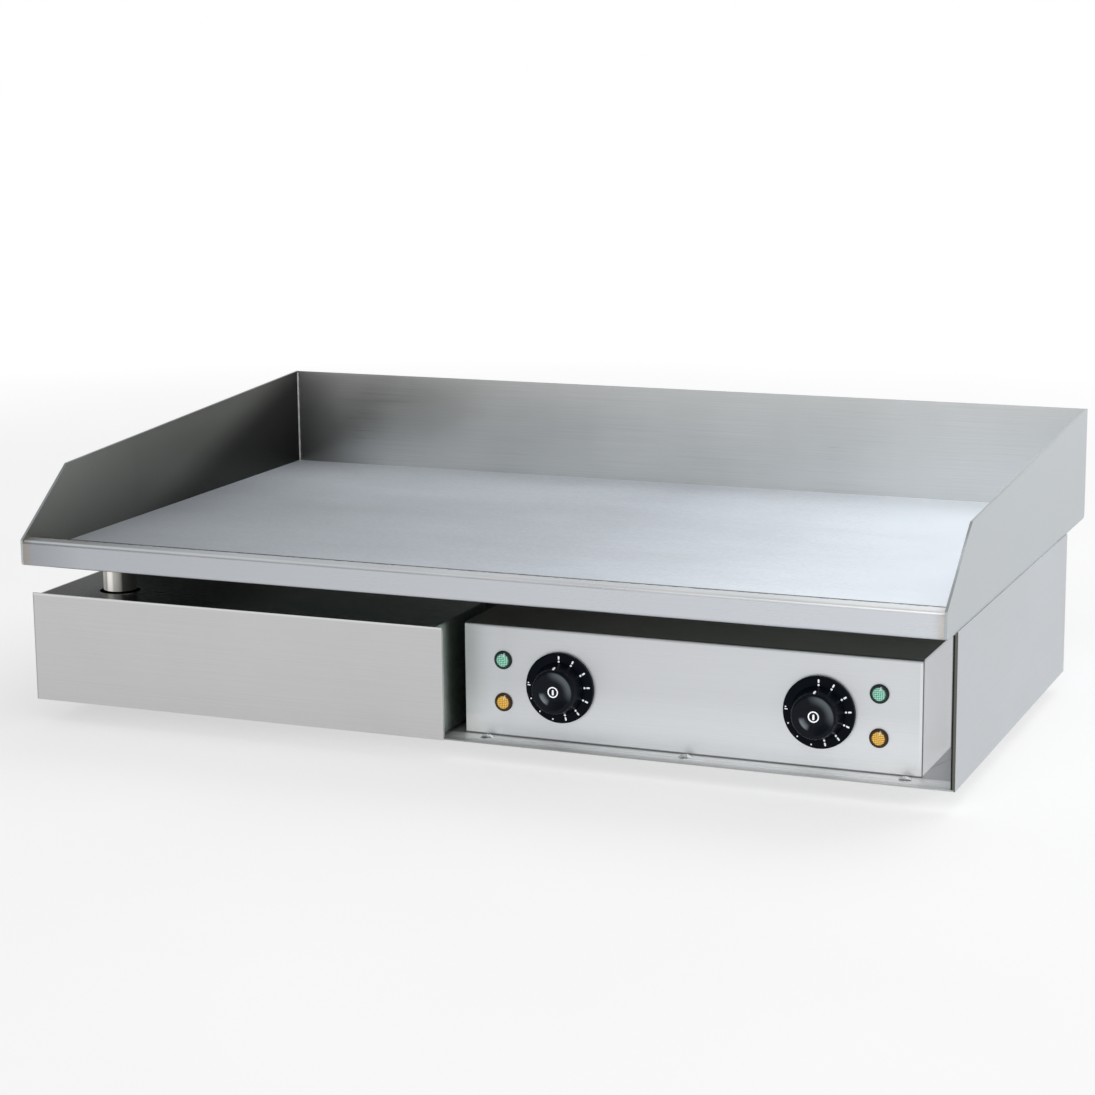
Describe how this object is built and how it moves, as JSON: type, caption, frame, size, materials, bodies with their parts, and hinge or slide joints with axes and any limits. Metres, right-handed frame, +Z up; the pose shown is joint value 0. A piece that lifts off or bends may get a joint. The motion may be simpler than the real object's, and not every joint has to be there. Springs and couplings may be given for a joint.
{
  "type": "flat top griddle",
  "caption": "Countertop electric griddle: polished plate in a splash-guard tray, grease drawer at the left, control housing with turning knobs at the right.",
  "frame": {"origin": "on the counter, under the centre of the tray", "axes": "+Z up, the front rail faces -Y, +X to the right as seen from the front"},
  "size_m": [0.732, 0.464, 0.2195],
  "materials": {
    "polished_plate": "ground and polished steel cooking surface",
    "splash_steel": "satin stainless sheet",
    "rail_steel": "brushed stainless sheet, bent edges",
    "drain_steel": "polished stainless tube",
    "body_steel": "brushed stainless sheet",
    "base_steel": "dull stainless sheet",
    "drawer_steel": "horizontally brushed stainless sheet",
    "drawer_inner_steel": "satin stainless sheet",
    "panel_steel": "fine satin stainless sheet",
    "knob_plastic": "black satin phenolic plastic",
    "green_lens": "mint green cross-hatched lens",
    "amber_lens": "amber cross-hatched lens",
    "lamp_rim": "dark glossy lamp rim",
    "screw_steel": "bright domed screw head",
    "zinc_steel": "zinc-plated fasteners",
    "brass_parts": "plain brass",
    "foot_rubber": "black rubber",
    "element_sheath": "dark oxidised heating-element sheath",
    "insulation": "white ceramic-fibre board",
    "ceramic_body": "off-white ceramic",
    "shaft_steel": "turned steel",
    "copper_tube": "copper capillary",
    "reset_red": "red plastic",
    "wire_sleeve": "silicone-sleeved wire",
    "cable_rubber": "black rubber-sheathed cable",
    "gland_plastic": "black nylon"
  },
  "bodies": {
    "griddle": {"griddle_plate": "polished_plate", "splash_back": "splash_steel", "splash_left": "splash_steel", "splash_right": "splash_steel", "front_rail": "rail_steel", "grease_gutter": "splash_steel", "drain_tube": "drain_steel", "plate_studs": "zinc_steel", "stud_nuts": "zinc_steel", "heating_element_left": "element_sheath", "heating_element_right": "element_sheath", "clamp_bars_left": "zinc_steel", "clamp_bars_right": "zinc_steel", "insulation_left": "insulation", "insulation_right": "insulation", "heat_shield": "base_steel", "base_pan": "base_steel", "side_panel_left": "body_steel", "side_panel_right": "body_steel", "back_panel": "body_steel", "front_bulkhead": "base_steel", "base_stiffener": "zinc_steel", "ledge_screws": "screw_steel", "panel_screws": "zinc_steel", "panel_nuts": "zinc_steel", "foot_front_left": "foot_rubber", "foot_front_right": "foot_rubber", "foot_rear_left": "foot_rubber", "foot_rear_right": "foot_rubber", "foot_screws": "zinc_steel", "foot_nuts": "zinc_steel", "drawer_runner_left": "base_steel", "drawer_runner_right": "base_steel", "control_housing": "panel_steel", "dial_ring_left": "knob_plastic", "dial_ring_right": "knob_plastic", "thermostat_left": "ceramic_body", "thermostat_right": "ceramic_body", "sensor_bulb_left": "copper_tube", "sensor_bulb_right": "copper_tube", "green_lens_left": "green_lens", "green_lens_right": "green_lens", "amber_lens_left": "amber_lens", "amber_lens_right": "amber_lens", "lamp_holders": "lamp_rim", "limit_cutout": "ceramic_body", "terminal_block": "ceramic_body", "wire_loom": "wire_sleeve", "cable_gland": "gland_plastic", "power_cable": "cable_rubber", "bonding_stud": "brass_parts"},
    "drawer": {"drawer_front": "drawer_steel", "drawer_box": "drawer_inner_steel", "drawer_lid": "drawer_inner_steel"},
    "knob_left": {"knob_left": "knob_plastic", "thermostat_shaft_left": "shaft_steel"},
    "knob_right": {"knob_right": "knob_plastic", "thermostat_shaft_right": "shaft_steel"},
    "reset": {"reset_button": "reset_red"}
  },
  "joints": [
    {"name": "drawer_slide", "type": "slide", "parent": "griddle", "child": "drawer", "axis": [0, -1, 0], "range_m": [0, 0.065]},
    {"name": "knob_left_turn", "type": "hinge", "parent": "griddle", "child": "knob_left", "pos_m": [0.064, -0.182, 0.0574], "axis": [0, 1, 0], "range_deg": [0, 274]},
    {"name": "knob_right_turn", "type": "hinge", "parent": "griddle", "child": "knob_right", "pos_m": [0.262, -0.182, 0.0574], "axis": [0, 1, 0], "range_deg": [0, 274]},
    {"name": "reset_press", "type": "slide", "parent": "griddle", "child": "reset", "axis": [0, -1, 0], "range_m": [0, 0.0015], "stiffness_N_per_m": 400}
  ]
}
